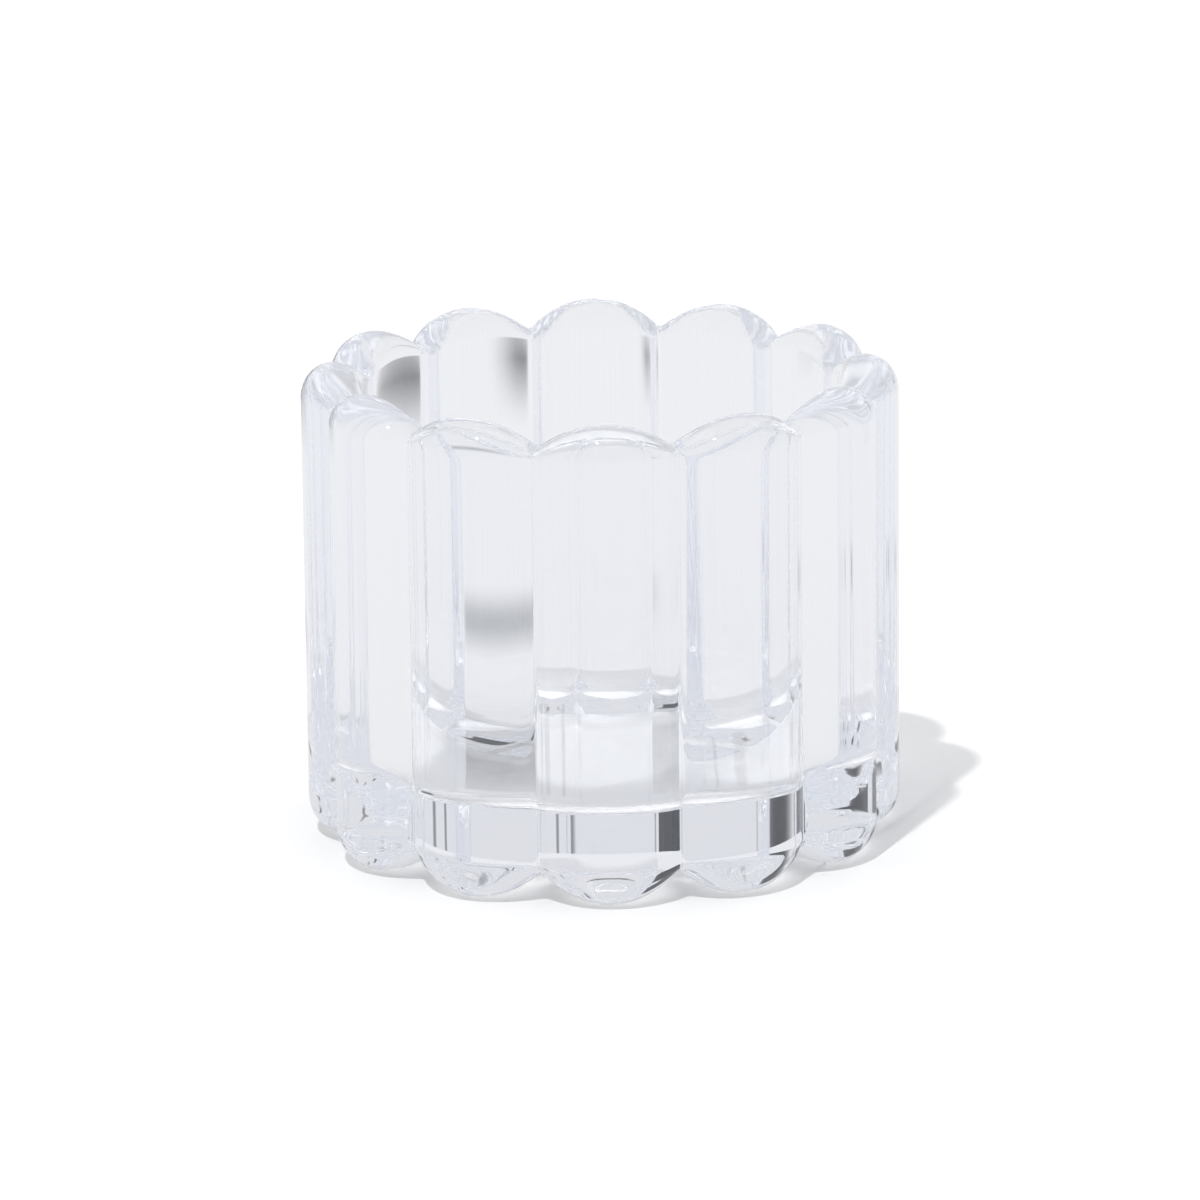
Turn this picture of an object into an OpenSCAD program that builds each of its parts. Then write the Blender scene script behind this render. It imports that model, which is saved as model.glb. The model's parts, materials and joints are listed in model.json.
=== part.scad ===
// Tealight holder of clear pressed glass.
// The outside is a ring of upright convex lobes. Each lobe ends in a round dome
// at the rim and in a round foot below. Inside is one plain round well.
// Frame: +Z up, origin on the axis, at the height of the surface it stands on.
// One lobe faces -Y.

/* [Body] */
// Diameter across two opposite lobes
outer_d = 80; // [76:1:90]
// Height from the lowest point of the feet to the top of the rim
height = 64.8; // [55:0.1:80]
// Number of lobes around the body
lobe_count = 12; // [11:1:13]
// Radius of each lobe's round outer face
lobe_r = 11; // [10.5:0.1:11.5]

/* [Well] */
// Thickness of the wall at the middle of a lobe
wall_t = 8.25; // [8.2:0.05:9]
// Height of the well's floor above the surface the holder stands on
floor_z = 11.2; // [9:0.1:14]
// Radius of the round corner between the well's wall and its floor
corner_r = 3.2; // [2:0.1:4]

/* [Rim and feet] */
// Height of the dome that ends each lobe at the rim
rim_dome_h = 4.3; // [4.2:0.1:4.6]
// Height of the dome that ends each lobe at the foot
foot_dome_h = 5.1; // [5:0.1:5.5]
// Gap between the flat underside and the surface the holder stands on
underside_z = 2.8; // [2:0.1:3.5]

/* [Hidden] */
outer_r = outer_d / 2;
well_r = outer_r - wall_t;
// Distance from the body's axis to the axis of each round lobe
lobe_axis_r = outer_r - lobe_r;
lobe_step = 360 / lobe_count;
// How far each dome sits inside its lobe's round face
dome_inset = 0.04;
// How far the straight lobes run on past the middle of a dome
dome_sink = 0.3;
// Heights of the middles of the domes, and of the straight lobes between them
foot_centre_z = foot_dome_h - dome_inset;
rim_centre_z = height - rim_dome_h + dome_inset;
straight_bottom = foot_centre_z - dome_sink;
straight_top = rim_centre_z + dome_sink;
// The core fills the space between the lobes, out to where they meet each other
core_r = lobe_axis_r + 2;
// The base disc joins the feet and carries the flat underside
base_disc_r = outer_r - 2 * foot_dome_h + 1;
// How far cuts and discs run past the solid they meet
overrun = 1;
$fn = 96;

// Places its child at every lobe, with the child's +X pointing outwards.
module at_each_lobe() {
    for (i = [0 : lobe_count - 1])
        rotate([0, 0, i * lobe_step - 90])
            children();
}

// Cross-section of the upright lobes, with the core that fills the space between them.
module lobed_outline() {
    circle(r = core_r);
    at_each_lobe()
        translate([lobe_axis_r, 0])
            circle(r = lobe_r);
}

module straight_lobes() {
    translate([0, 0, straight_bottom])
        linear_extrude(straight_top - straight_bottom)
            lobed_outline();
}

// Outline of a lobe's face above a chord that lies dome_h below its crown.
module lobe_cap_outline(dome_h) {
    intersection() {
        translate([dome_h - lobe_r, 0])
            circle(r = lobe_r - dome_inset);
        translate([0, -lobe_r])
            square([lobe_r, 2 * lobe_r]);
    }
}

// The lobe's face turned about that chord, which lies level across the lobe.
// Its outer side carries the lobe's own curve over the rim or under the foot.
// buried_side turns the seam of the surface down or up, into the lobe.
module lobe_dome(dome_h, centre_z, buried_side) {
    translate([outer_r - dome_h, 0, centre_z])
        rotate([90, 0, 0])
            rotate([0, 0, buried_side * 90])
                rotate_extrude()
                    lobe_cap_outline(dome_h);
}

module rim_domes() {
    at_each_lobe()
        lobe_dome(rim_dome_h, rim_centre_z, -1);
}

module feet() {
    at_each_lobe()
        lobe_dome(foot_dome_h, foot_centre_z, 1);
}

// Disc under the slab, between the feet.
module base_disc() {
    translate([0, 0, underside_z])
        cylinder(r = base_disc_r, h = straight_bottom - underside_z + overrun);
}

// Half outline of the well: straight wall, round corner and flat floor.
module well_outline() {
    corner_x = well_r - corner_r;
    corner_z = floor_z + corner_r;
    translate([0, floor_z])
        square([corner_x, height - floor_z + overrun]);
    translate([0, corner_z])
        square([well_r, height - corner_z + overrun]);
    translate([corner_x, corner_z])
        circle(r = corner_r);
}

module well() {
    rotate_extrude()
        well_outline();
}

module glass_body() {
    color([0.86, 0.89, 0.94, 0.45])
        difference() {
            union() {
                straight_lobes();
                rim_domes();
                feet();
                base_disc();
            }
            well();
        }
}

glass_body();
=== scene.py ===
"""Looks of a tealight holder of clear pressed glass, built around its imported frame."""

import json
import logging
import math
from dataclasses import dataclass, field
from enum import Enum
from typing import Any

import bmesh
import bpy
from mathutils import Matrix, Quaternion, Vector


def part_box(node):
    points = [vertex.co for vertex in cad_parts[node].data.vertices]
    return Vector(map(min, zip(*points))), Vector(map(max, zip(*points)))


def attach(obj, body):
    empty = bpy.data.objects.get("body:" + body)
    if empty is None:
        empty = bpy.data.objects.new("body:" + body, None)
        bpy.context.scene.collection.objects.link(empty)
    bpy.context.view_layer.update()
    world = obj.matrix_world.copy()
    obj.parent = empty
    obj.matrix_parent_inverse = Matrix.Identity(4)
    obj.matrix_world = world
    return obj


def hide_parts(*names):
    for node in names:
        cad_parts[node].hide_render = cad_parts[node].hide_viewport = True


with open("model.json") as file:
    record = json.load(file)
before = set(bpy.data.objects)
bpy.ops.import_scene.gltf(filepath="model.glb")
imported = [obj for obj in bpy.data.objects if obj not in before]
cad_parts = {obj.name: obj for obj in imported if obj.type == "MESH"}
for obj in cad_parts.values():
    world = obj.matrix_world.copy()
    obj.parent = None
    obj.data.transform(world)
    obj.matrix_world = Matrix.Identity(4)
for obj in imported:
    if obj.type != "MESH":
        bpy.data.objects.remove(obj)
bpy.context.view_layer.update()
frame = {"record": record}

LOG = logging.getLogger("tealight_holder")
MM = 0.001
Colour = tuple[float, float, float]
NodeValue = Any


# ------------------------------------------------------------------ shader nodes


class Value:
    """A number's socket in a node tree, on which Python's operators add Math nodes."""

    def __init__(self, tree: "Tree", socket: bpy.types.NodeSocket) -> None:
        """Wraps one output socket.

        Args:
            tree: The tree that the socket belongs to.
            socket: An output socket that gives a number.
        """
        self.tree = tree
        self.socket = socket

    def _maths(self, operation: str, first: NodeValue, second: NodeValue) -> "Value":
        """Adds one Math node.

        Args:
            operation: The Math node's operation.
            first: Its first number or socket.
            second: Its second number or socket.

        Returns:
            The node's result.
        """
        return self.tree.add("ShaderNodeMath", {"operation": operation}, {0: first, 1: second})

    def __add__(self, other: NodeValue) -> "Value":
        """Returns the sum."""
        return self._maths("ADD", self, other)

    def __radd__(self, other: NodeValue) -> "Value":
        """Returns the sum, with this value on the right."""
        return self._maths("ADD", other, self)

    def __sub__(self, other: NodeValue) -> "Value":
        """Returns the difference."""
        return self._maths("SUBTRACT", self, other)

    def __rsub__(self, other: NodeValue) -> "Value":
        """Returns the difference, with this value on the right."""
        return self._maths("SUBTRACT", other, self)

    def __mul__(self, other: NodeValue) -> "Value":
        """Returns the product."""
        return self._maths("MULTIPLY", self, other)

    def __rmul__(self, other: NodeValue) -> "Value":
        """Returns the product, with this value on the right."""
        return self._maths("MULTIPLY", other, self)


class Tree:
    """A material's or a world's node tree, emptied and built up again."""

    def __init__(self, owner: bpy.types.ID) -> None:
        """Empties the owner's node tree.

        Args:
            owner: A material or a world.
        """
        owner.use_nodes = True
        self.nodes = owner.node_tree.nodes
        self.links = owner.node_tree.links
        self.nodes.clear()

    def add(
        self,
        kind: str,
        settings: dict[str, Any] | None = None,
        inputs: dict[str | int, NodeValue] | None = None,
        output: str | int = 0,
    ) -> Value:
        """Adds one node.

        Args:
            kind: The node's type, such as ShaderNodeTexNoise.
            settings: Properties of the node, set before its sockets.
            inputs: Numbers, colours or sockets for its inputs, by name or place.
            output: The output that is wanted, by name or place.

        Returns:
            That output.
        """
        node = self.nodes.new(kind)
        for name, value in (settings or {}).items():
            setattr(node, name, value)
        for name, value in (inputs or {}).items():
            if isinstance(value, Value):
                self.links.new(value.socket, node.inputs[name])
            else:
                node.inputs[name].default_value = value
        return Value(self, node.outputs[output]) if node.outputs else Value(self, None)

    def mix_colours(self, share: NodeValue, first: NodeValue, second: NodeValue) -> Value:
        """Mixes two colours.

        Args:
            share: How much of the second colour shows, from 0 to 1.
            first: The first colour.
            second: The second colour.

        Returns:
            The mixed colour.
        """
        factor, colour_a, colour_b, colour_out = 0, 6, 7, 2
        inputs = {factor: share, colour_a: first, colour_b: second}
        return self.add("ShaderNodeMix", {"data_type": "RGBA"}, inputs, colour_out)

    def noise(self, pattern: "Pattern") -> Value:
        """Adds a soft noise fixed to the piece.

        Args:
            pattern: The noise's grain.

        Returns:
            The noise, around 0.5.
        """
        place = self.add("ShaderNodeTexCoord", output="Object")
        inputs = {"Vector": place, "Scale": pattern.per_metre}
        stretched = self.add("ShaderNodeMapping", {}, inputs)
        inputs = {"Vector": stretched, "Scale": 1.0, "Detail": pattern.octaves}
        return self.add("ShaderNodeTexNoise", {}, inputs)


def rgba(colour: Colour) -> tuple[float, float, float, float]:
    """Returns the colour with full alpha."""
    return (*colour, 1.0)


# ------------------------------------------------------------------------ finishes


@dataclass(frozen=True)
class Pattern:
    """The grain of a noise: repeats per metre along each axis, and finer octaves."""

    per_metre: Colour
    octaves: float


@dataclass(frozen=True)
class PressedGlass:
    """Clear soda-lime glass, pressed in a polished mould and fire polished.

    Each face dims the lamp's light a lot in the open shadow, and less where the
    floor is seen through the glass, as thick lobes gather light below them.
    """

    clear: Colour = (0.985, 0.988, 0.995)
    cool: Colour = (0.955, 0.965, 0.985)
    ior: float = 1.5
    roughness: float = 0.0
    roughness_spread: float = 0.006
    ripple_height: float = 0.01 * MM
    cloud: Pattern = Pattern((45.0, 45.0, 18.0), 2.0)
    handling: Pattern = Pattern((160.0, 160.0, 90.0), 3.0)
    ripple: Pattern = Pattern((40.0, 40.0, 14.0), 0.0)
    deep_tint: Colour = (0.80, 0.86, 1.0)
    tint_density: float = 2.4
    shadow_light: Colour = (0.34, 0.34, 0.34)
    gathered_light: Colour = (0.70, 0.70, 0.70)

    def build(self) -> bpy.types.Material:
        """Returns the glass material."""
        material = bpy.data.materials.new("pressed_glass")
        tree = Tree(material)
        cloud = tree.noise(self.cloud)
        handling = tree.noise(self.handling)
        ripple = tree.noise(self.ripple)
        bump = tree.add(
            "ShaderNodeBump",
            {},
            {"Strength": 1.0, "Distance": self.ripple_height, "Height": ripple},
        )
        surface = tree.add(
            "ShaderNodeBsdfPrincipled",
            {},
            {
                "Base Color": tree.mix_colours(cloud, rgba(self.clear), rgba(self.cool)),
                "Roughness": handling * self.roughness_spread + self.roughness,
                "IOR": self.ior,
                "Transmission Weight": 1.0,
                "Normal": bump,
            },
        )
        shaded, gathered = (
            tree.add("ShaderNodeBsdfTransparent", {}, {"Color": rgba(light)})
            for light in (self.shadow_light, self.gathered_light)
        )
        in_glass = tree.add("ShaderNodeLightPath", output="Transmission Depth")
        see_through = tree.add("ShaderNodeMixShader", {}, {0: in_glass, 1: shaded, 2: gathered})
        shadow_ray = tree.add("ShaderNodeLightPath", output="Is Shadow Ray")
        surface = tree.add("ShaderNodeMixShader", {}, {0: shadow_ray, 1: surface, 2: see_through})
        depth = tree.add(
            "ShaderNodeVolumeAbsorption",
            {},
            {"Color": rgba(self.deep_tint), "Density": self.tint_density},
        )
        tree.add("ShaderNodeOutputMaterial", {}, {"Surface": surface, "Volume": depth})
        return material


@dataclass(frozen=True)
class MattePaper:
    """Matte white paper of the studio's floor.

    It keeps its whole colour where it is looked at straight, and a little less
    where it is seen in the glass, so that clear glass stands out from it.
    """

    light: Colour = (0.96, 0.96, 0.96)
    shade: Colour = (0.94, 0.94, 0.942)
    in_glass: float = 0.81
    roughness: float = 0.8
    fibres: Pattern = Pattern((900.0, 900.0, 900.0), 2.0)

    def coat(self, tree: Tree, brightness: float) -> Value:
        """Adds the paper's surface.

        Args:
            tree: The material's tree.
            brightness: How much of the paper's own colour it keeps.

        Returns:
            The shader.
        """
        fibres = tree.noise(self.fibres)
        light, shade = (
            rgba(tuple(brightness * part for part in tone)) for tone in (self.light, self.shade)
        )
        return tree.add(
            "ShaderNodeBsdfPrincipled",
            {},
            {
                "Base Color": tree.mix_colours(fibres, light, shade),
                "Roughness": self.roughness,
                "Specular IOR Level": 0.0,
            },
        )

    def build(self, name: str) -> bpy.types.Material:
        """Returns the paper material, under the name of its piece."""
        material = bpy.data.materials.new(name)
        tree = Tree(material)
        looked_at = tree.add("ShaderNodeLightPath", output="Is Camera Ray")
        surface = tree.add(
            "ShaderNodeMixShader",
            {},
            {0: looked_at, 1: self.coat(tree, self.in_glass), 2: self.coat(tree, 1.0)},
        )
        tree.add("ShaderNodeOutputMaterial", {}, {"Surface": surface})
        return material


@dataclass(frozen=True)
class SoftGlow:
    """The even face of a studio card, which fades out towards its edges."""

    tone: Colour
    brightness: float
    fade: float

    def edges(self, tree: Tree, along: Value) -> Value:
        """Fades a card at both ends of one direction.

        Args:
            tree: The material's tree.
            along: Place along that direction, from 0 to 1.

        Returns:
            How much of the card shows, from 0 to 1.
        """
        settings = {"interpolation_type": "SMOOTHSTEP"}
        near, far = (
            tree.add("ShaderNodeMapRange", settings, {"Value": inward, "From Max": self.fade})
            for inward in (along, 1.0 - along)
        )
        return near * far

    def build(self, name: str) -> bpy.types.Material:
        """Returns the card's material, under the name of its piece."""
        material = bpy.data.materials.new(name)
        tree = Tree(material)
        place = tree.add("ShaderNodeTexCoord", output="Generated")
        across, upward = (
            tree.add("ShaderNodeSeparateXYZ", {}, {"Vector": place}, axis) for axis in "XZ"
        )
        shown = self.edges(tree, across) * self.edges(tree, upward)
        inputs = {"Color": rgba(self.tone), "Strength": self.brightness}
        glow = tree.add("ShaderNodeEmission", {}, inputs)
        nothing = tree.add("ShaderNodeBsdfTransparent")
        surface = tree.add("ShaderNodeMixShader", {}, {0: shown, 1: nothing, 2: glow})
        tree.add("ShaderNodeOutputMaterial", {}, {"Surface": surface})
        return material


# --------------------------------------------------------------------- glass body


class Zone(Enum):
    """Stretches of the glass's half section, from the well's floor to the underside."""

    WELL_FLOOR = 0
    WELL_CORNER = 1
    WELL_WALL = 2
    RIM = 3
    LOBE_FACE = 4
    FOOT = 5
    UNDERSIDE = 6


@dataclass
class GlassBody:
    """The holder: a ring of lobes with domed rim and feet, and one round well.

    Every length is in metres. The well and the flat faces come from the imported
    record's mounts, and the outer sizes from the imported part's box.
    """

    outer_r: float
    height: float
    well_r: float
    floor_z: float
    underside_z: float
    lobe_count: int = 12
    lobe_r: float = 11.0 * MM
    crease_round: float = 0.35 * MM
    rim_base: float = 4.6 * MM
    rim_crest_r: float = 12.3 * MM
    rim_saddle: float = 0.35 * MM
    rim_inner_arch: float = 1.1 * MM
    foot_base: float = 5.3 * MM
    foot_crest_r: float = 11.64 * MM
    foot_ring_r: float = 35.4 * MM
    underside_r: float = 28.5 * MM
    corner_r: float = 3.2 * MM
    columns_per_lobe: int = 32
    merge_gap: float = 0.001 * MM
    zone_rows: dict[Zone, int] = field(
        default_factory=lambda: {
            Zone.WELL_FLOOR: 8,
            Zone.WELL_CORNER: 12,
            Zone.WELL_WALL: 16,
            Zone.RIM: 34,
            Zone.LOBE_FACE: 18,
            Zone.FOOT: 34,
            Zone.UNDERSIDE: 8,
        }
    )

    @classmethod
    def from_frame(cls) -> "GlassBody":
        """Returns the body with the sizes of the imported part."""
        low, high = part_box("glass_body")
        mounts = {mount["name"]: mount for mount in frame["record"]["mounts"]}
        return cls(
            outer_r=(high.x - low.x) / 2,
            height=high.z - low.z,
            well_r=mounts["well"]["dims"]["r_mm"] * MM,
            floor_z=mounts["well_floor"]["pos_m"][2],
            underside_z=mounts["underside"]["pos_m"][2],
        )

    @property
    def half_lobe(self) -> float:
        """Angle from a lobe's middle to the crease beside it."""
        return math.pi / self.lobe_count

    def rounded_angle(self, angle: float) -> float:
        """Eases an angle near a crease, which rounds the crease itself.

        Args:
            angle: Angle from the lobe's middle.

        Returns:
            The angle at which the lobe's sharp outline is read instead.
        """
        crease_r = self.sharp_face_r(self.half_lobe)
        gap = (self.half_lobe - abs(angle)) * crease_r
        return max(self.half_lobe - math.hypot(gap, self.crease_round) / crease_r, 0.0)

    def sharp_face_r(self, angle: float) -> float:
        """Returns the radius of the lobe's round face at an angle from its middle."""
        centre_r = self.outer_r - self.lobe_r
        aside = centre_r * math.sin(angle)
        return centre_r * math.cos(angle) + math.sqrt(self.lobe_r**2 - aside**2)

    def crest_drop(self, crest_r: float, ring_r: float, angle: float) -> float:
        """Tells how far a dome's crest lies below its top.

        Args:
            crest_r: Radius of the crest's arc.
            ring_r: Radius of the ring that the crests lie on.
            angle: Angle from the lobe's middle.

        Returns:
            The drop at that angle.
        """
        aside = ring_r * math.sin(angle)
        return crest_r - math.sqrt(max(crest_r**2 - aside**2, 0.0))

    def rim_point(self, along: float, angle: float, face_r: float) -> tuple[float, float]:
        """Places a point of the rim's dome, from the well's wall over to the lobe's face.

        Args:
            along: Share of the way, from 0 to 1.
            angle: Eased angle from the lobe's middle.
            face_r: Radius of the lobe's face there.

        Returns:
            Radius and height.
        """
        ring_r = (face_r + self.well_r) / 2
        base_z = self.height - self.rim_base
        lobe_share = 1.0 - (angle / self.half_lobe) ** 2
        crest_z = self.height - self.crest_drop(self.rim_crest_r, ring_r, angle)
        crest_z = max(crest_z, base_z + self.rim_saddle)
        start_z = base_z + self.rim_inner_arch * lobe_share if along < 0.5 else base_z
        turn = math.pi * (1.0 - along)
        return (
            ring_r + (face_r - self.well_r) / 2 * math.cos(turn),
            start_z + (crest_z - start_z) * math.sin(turn),
        )

    def foot_point(self, along: float, angle: float, face_r: float) -> tuple[float, float]:
        """Places a point of the foot, from the lobe's face round to the underside.

        Args:
            along: Share of the way, from 0 to 1.
            angle: Eased angle from the lobe's middle.
            face_r: Radius of the lobe's face there.

        Returns:
            Radius and height.
        """
        inward = (self.outer_r - face_r) * (self.foot_ring_r - self.underside_r)
        ring_r = self.foot_ring_r - inward / (self.outer_r - self.underside_r)
        crest_z = self.crest_drop(self.foot_crest_r, ring_r, angle)
        turn = math.pi * along
        if along < 0.5:
            reach = (face_r - ring_r) * math.cos(turn)
            return ring_r + reach, self.foot_base - (self.foot_base - crest_z) * math.sin(turn)
        reach = (ring_r - self.underside_r) * math.cos(turn)
        return ring_r + reach, self.underside_z - (self.underside_z - crest_z) * math.sin(turn)

    def section_point(self, zone: Zone, along: float, angle: float) -> tuple[float, float]:
        """Places a point of the half section.

        Args:
            zone: The stretch that the point is on.
            along: Share of the way along that stretch, from 0 to 1.
            angle: Angle from the middle of the nearest lobe.

        Returns:
            Radius and height.
        """
        eased = self.rounded_angle(angle)
        face_r = self.sharp_face_r(eased)
        flat_r = self.well_r - self.corner_r
        corner_z = self.floor_z + self.corner_r
        if zone is Zone.WELL_FLOOR:
            return flat_r * along, self.floor_z
        if zone is Zone.WELL_CORNER:
            turn = math.pi / 2 * along
            return (
                flat_r + self.corner_r * math.sin(turn),
                corner_z - self.corner_r * math.cos(turn),
            )
        if zone is Zone.WELL_WALL:
            top_z = self.rim_point(0.0, eased, face_r)[1]
            return self.well_r, corner_z + (top_z - corner_z) * along
        if zone is Zone.RIM:
            return self.rim_point(along, eased, face_r)
        if zone is Zone.LOBE_FACE:
            top_z = self.height - self.rim_base
            return face_r, top_z + (self.foot_base - top_z) * along
        if zone is Zone.FOOT:
            return self.foot_point(along, eased, face_r)
        return self.underside_r * (1.0 - along), self.underside_z

    def turned_blank(self) -> bmesh.types.BMesh:
        """Spins the section at a lobe's middle through a full turn.

        Returns:
            The blank, whose vertices keep their zone and their place along it in layers.
        """
        blank = bmesh.new()
        zone_layer = blank.verts.layers.int.new("zone")
        along_layer = blank.verts.layers.float.new("along")
        last = None
        for zone in Zone:
            rows = self.zone_rows[zone]
            for row in range(rows + (zone is Zone.UNDERSIDE)):
                radius, height = self.section_point(zone, row / rows, 0.0)
                vertex = blank.verts.new((0.0, -radius, height))
                vertex[zone_layer] = zone.value
                vertex[along_layer] = row / rows
                if last is not None:
                    blank.edges.new((last, vertex))
                last = vertex
        bmesh.ops.spin(
            blank,
            geom=blank.verts[:] + blank.edges[:],
            cent=(0.0, 0.0, 0.0),
            axis=(0.0, 0.0, 1.0),
            angle=2.0 * math.pi,
            steps=self.lobe_count * self.columns_per_lobe,
            use_merge=True,
        )
        bmesh.ops.remove_doubles(blank, verts=blank.verts[:], dist=self.merge_gap)
        return blank

    def press(self, blank: bmesh.types.BMesh) -> None:
        """Presses the lobes, the rim's domes and the feet into the turned blank.

        Args:
            blank: The blank, changed in place.
        """
        zone_layer = blank.verts.layers.int["zone"]
        along_layer = blank.verts.layers.float["along"]
        lobe_step = 2.0 * self.half_lobe
        for vertex in blank.verts:
            azimuth = math.atan2(vertex.co.x, -vertex.co.y)
            middle = lobe_step * round(azimuth / lobe_step)
            share = (azimuth - middle) / self.half_lobe
            angle = self.half_lobe * math.sin(share * math.pi / 2)
            place = Zone(vertex[zone_layer]), vertex[along_layer]
            radius, height = self.section_point(*place, angle)
            turn = middle + angle
            vertex.co = (radius * math.sin(turn), -radius * math.cos(turn), height)

    def build(self, finish: PressedGlass) -> bpy.types.Object:
        """Builds the body and dresses it.

        Args:
            finish: The glass.

        Returns:
            The finished piece.
        """
        body = self.turned_blank()
        self.press(body)
        bmesh.ops.recalc_face_normals(body, faces=body.faces[:])
        for face in body.faces:
            face.smooth = True
        mesh = bpy.data.meshes.new("pressed_glass_body")
        body.to_mesh(mesh)
        body.free()
        piece = bpy.data.objects.new("pressed_glass_body", mesh)
        bpy.context.scene.collection.objects.link(piece)
        mesh.materials.append(finish.build())
        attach(piece, "root")
        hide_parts("glass_body")
        return piece


# --------------------------------------------------------------------------- studio


def stage_piece(
    name: str, shape: bmesh.types.BMesh, finish: MattePaper | SoftGlow
) -> bpy.types.Object:
    """Turns a shape into a piece of the studio.

    Args:
        name: The piece's name.
        shape: Its shape, which is freed.
        finish: Its paper or its soft glow.

    Returns:
        The piece.
    """
    mesh = bpy.data.meshes.new(name)
    shape.to_mesh(mesh)
    shape.free()
    piece = bpy.data.objects.new(name, mesh)
    bpy.context.scene.collection.objects.link(piece)
    mesh.materials.append(finish.build(name))
    LOG.info("studio piece %s", piece.name)
    return piece


@dataclass
class Card:
    """An upright card that faces the holder, and which only shows in the glass.

    Azimuth 0 is +Y and azimuth 90 is +X. All four angles are in degrees, as
    seen from the holder's foot.
    """

    name: str
    finish: SoftGlow
    azimuth: float
    elevation: float
    width: float
    height: float
    distance: float = 1.2

    def build(self) -> bpy.types.Object:
        """Returns the card, stood up."""
        card = bmesh.new()
        bmesh.ops.create_grid(card, x_segments=1, y_segments=1, size=self.distance)
        half_width, half_height = (
            math.tan(math.radians(angle / 2)) for angle in (self.width, self.height)
        )
        bmesh.ops.scale(card, vec=(half_width, half_height, 1.0), verts=card.verts[:])
        upright = Matrix.Rotation(math.radians(90.0), 3, "X")
        bmesh.ops.rotate(card, cent=(0.0, 0.0, 0.0), matrix=upright, verts=card.verts[:])
        rise = self.distance * math.tan(math.radians(self.elevation))
        bmesh.ops.translate(card, vec=(0.0, self.distance, rise), verts=card.verts[:])
        piece = stage_piece(self.name, card, self.finish)
        piece.rotation_euler.z = -math.radians(self.azimuth)
        piece.visible_camera = False
        piece.visible_diffuse = False
        piece.visible_shadow = False
        return piece


@dataclass
class KeyLamp:
    """The far, small lamp that draws the holder's shadow."""

    azimuth: float = math.radians(-155.5)
    elevation: float = math.radians(62.9)
    spread: float = math.radians(1.8)
    strength: float = 1.40
    tint: Colour = (1.0, 0.995, 0.985)

    def build(self) -> bpy.types.Object:
        """Returns the lamp, hung and lit."""
        lamp = bpy.data.lights.new("key_lamp", "SUN")
        lamp.energy = self.strength
        lamp.angle = self.spread
        lamp.color = self.tint
        hung = bpy.data.objects.new("key_lamp", lamp)
        bpy.context.scene.collection.objects.link(hung)
        away = math.cos(self.elevation)
        source = Vector(
            (away * math.sin(self.azimuth), away * math.cos(self.azimuth), math.sin(self.elevation))
        )
        hung.location = source
        hung.rotation_euler = source.to_track_quat("Z", "Y").to_euler()
        return hung


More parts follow.
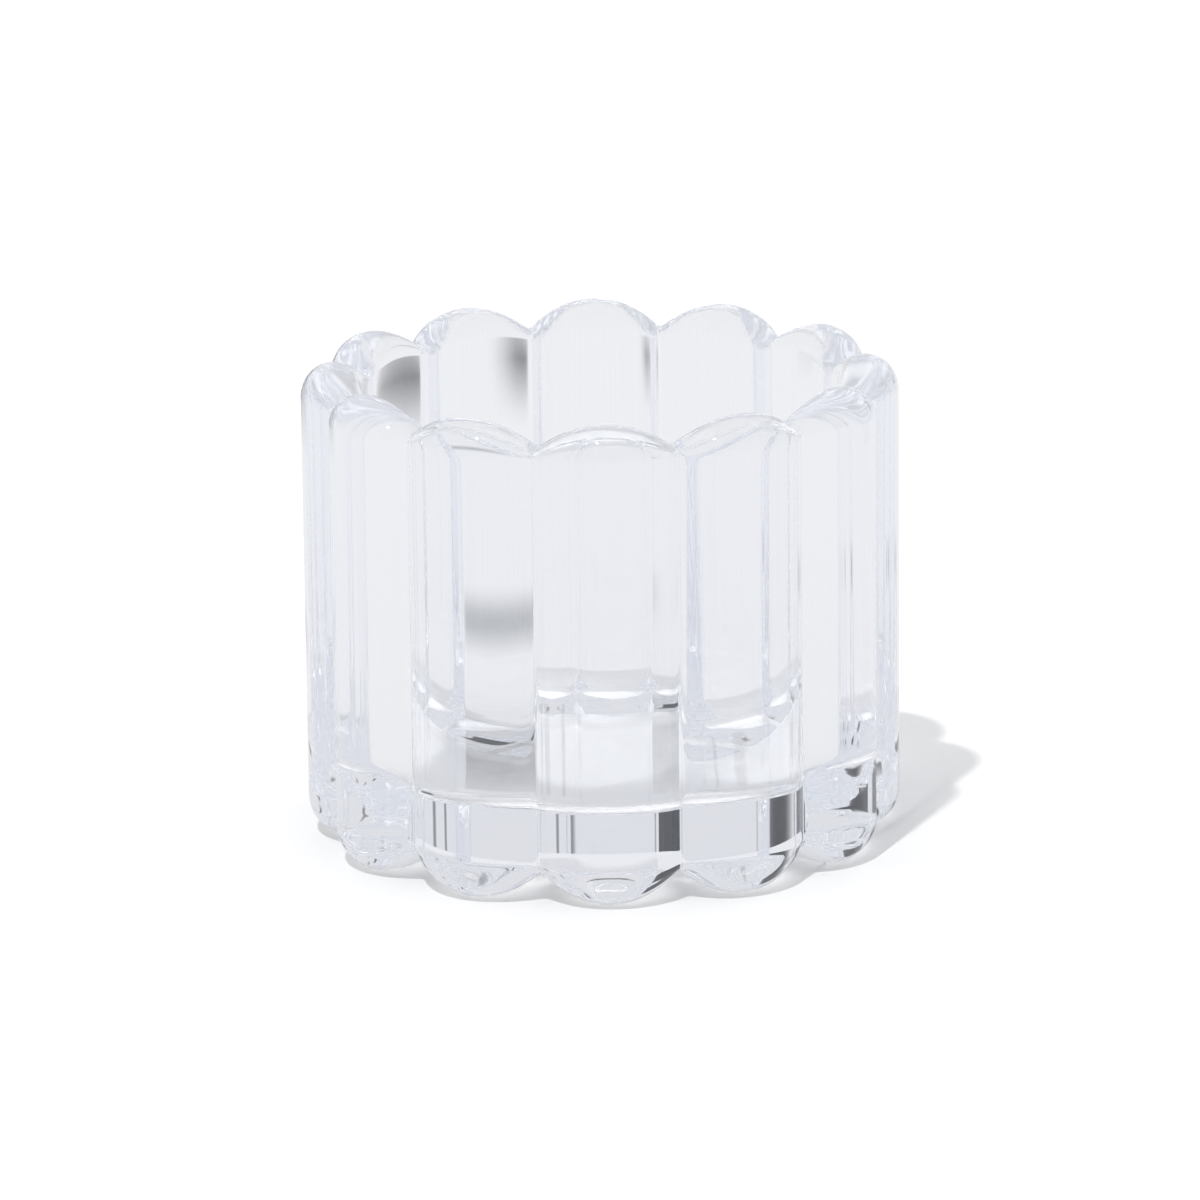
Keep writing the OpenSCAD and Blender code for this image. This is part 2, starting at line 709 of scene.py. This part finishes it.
@dataclass
class Studio:
    """A white paper floor in an evenly lit grey room, with dark cards round it."""

    floor_r: float = 8.0
    floor_sides: int = 64
    light_bounces: int = 32
    room: Colour = (0.76, 0.765, 0.785)
    black: SoftGlow = SoftGlow((0.85, 0.9, 1.0), brightness=0.07, fade=0.2)
    grey: SoftGlow = SoftGlow((0.95, 0.97, 1.0), brightness=0.25, fade=0.4)
    # A dim grey glow, darker than the room: painted shade that stands for a darker patch of floor
    # seen in the glass.
    painted_floor_shade: SoftGlow = SoftGlow((0.95, 0.97, 1.0), brightness=0.5, fade=0.5)
    strip_azimuths: tuple[float, ...] = (21.0, 29.0)

    def cards(self) -> list[Card]:
        """Lists the cards.

        Returns:
            A black card close behind on the left, a low grey one nearer still
            that paints a patch of shade on the floor seen in the glass, and a
            black card and grey strips far off on the right.
        """
        left = Card(
            "left_card", self.black, azimuth=-34.0, elevation=11.8, width=44.0, height=23.6,
            distance=0.215,
        )
        # Low card: painted shade, a darker patch of floor beside the holder as seen in the glass.
        low = Card(
            "low_card", self.painted_floor_shade, azimuth=-39.0, elevation=3.5, width=30.0, height=7.0,
            distance=0.098,
        )
        right = Card(
            "right_card", self.black, azimuth=40.0, elevation=6.0, width=9.0, height=10.0
        )
        strips = [
            Card(f"right_strip_{place}", self.grey, azimuth, elevation=15.0, width=3.0, height=16.0)
            for place, azimuth in enumerate(self.strip_azimuths)
        ]
        return [left, low, right, *strips]

    def build_floor(self) -> None:
        """Lays the floor."""
        floor = bmesh.new()
        bmesh.ops.create_circle(
            floor, cap_ends=True, segments=self.floor_sides, radius=self.floor_r
        )
        stage_piece("paper_floor", floor, MattePaper())

    def build(self) -> None:
        """Sets up the floor, the cards, the lamp and the room's own light."""
        self.build_floor()
        for card in self.cards():
            card.build()
        KeyLamp().build()
        world = bpy.data.worlds.new("room")
        bpy.context.scene.world = world
        tree = Tree(world)
        glow = tree.add("ShaderNodeBackground", {}, {"Color": rgba(self.room)})
        tree.add("ShaderNodeOutputWorld", {}, {"Surface": glow})
        bpy.context.scene.view_settings.view_transform = "Standard"
        paths = bpy.context.scene.cycles
        paths.max_bounces = self.light_bounces
        paths.transmission_bounces = self.light_bounces
        paths.glossy_bounces = self.light_bounces


@dataclass
class Viewpoint:
    """The camera: a long lens from a little above the holder's rim."""

    aim: Colour = (-0.3 * MM, 0.0, 31.6 * MM)
    distance: float = 1.066
    elevation: float = math.radians(15.36)
    azimuth: float = math.radians(-1.07)
    roll: float = math.radians(-0.64)
    lens: float = 237.7
    sensor: float = 36.0

    def build(self) -> bpy.types.Object:
        """Places the camera and makes it the scene's own.

        Returns:
            The camera.
        """
        look = Vector((0.0, math.cos(self.elevation), -math.sin(self.elevation)))
        look.rotate(Matrix.Rotation(self.azimuth, 3, "Z"))
        data = bpy.data.cameras.new("viewpoint")
        data.lens = self.lens
        data.sensor_width = self.sensor
        data.clip_start = 0.01
        data.clip_end = 100.0
        camera = bpy.data.objects.new("viewpoint", data)
        bpy.context.scene.collection.objects.link(camera)
        turn = look.to_track_quat("-Z", "Y") @ Quaternion((0.0, 0.0, 1.0), self.roll)
        camera.rotation_euler = turn.to_euler()
        camera.location = Vector(self.aim) - look * self.distance
        bpy.context.scene.camera = camera
        return camera


# ---------------------------------------------------------------------------- main


def main() -> None:
    """Builds the holder, the studio and the camera."""
    logging.basicConfig(level=logging.INFO, format="%(name)s: %(message)s")
    body = GlassBody.from_frame()
    piece = body.build(PressedGlass())
    LOG.info("piece %s, %d faces", piece.name, len(piece.data.polygons))
    Studio().build()
    Viewpoint().build()


if __name__ == "__main__":
    main()
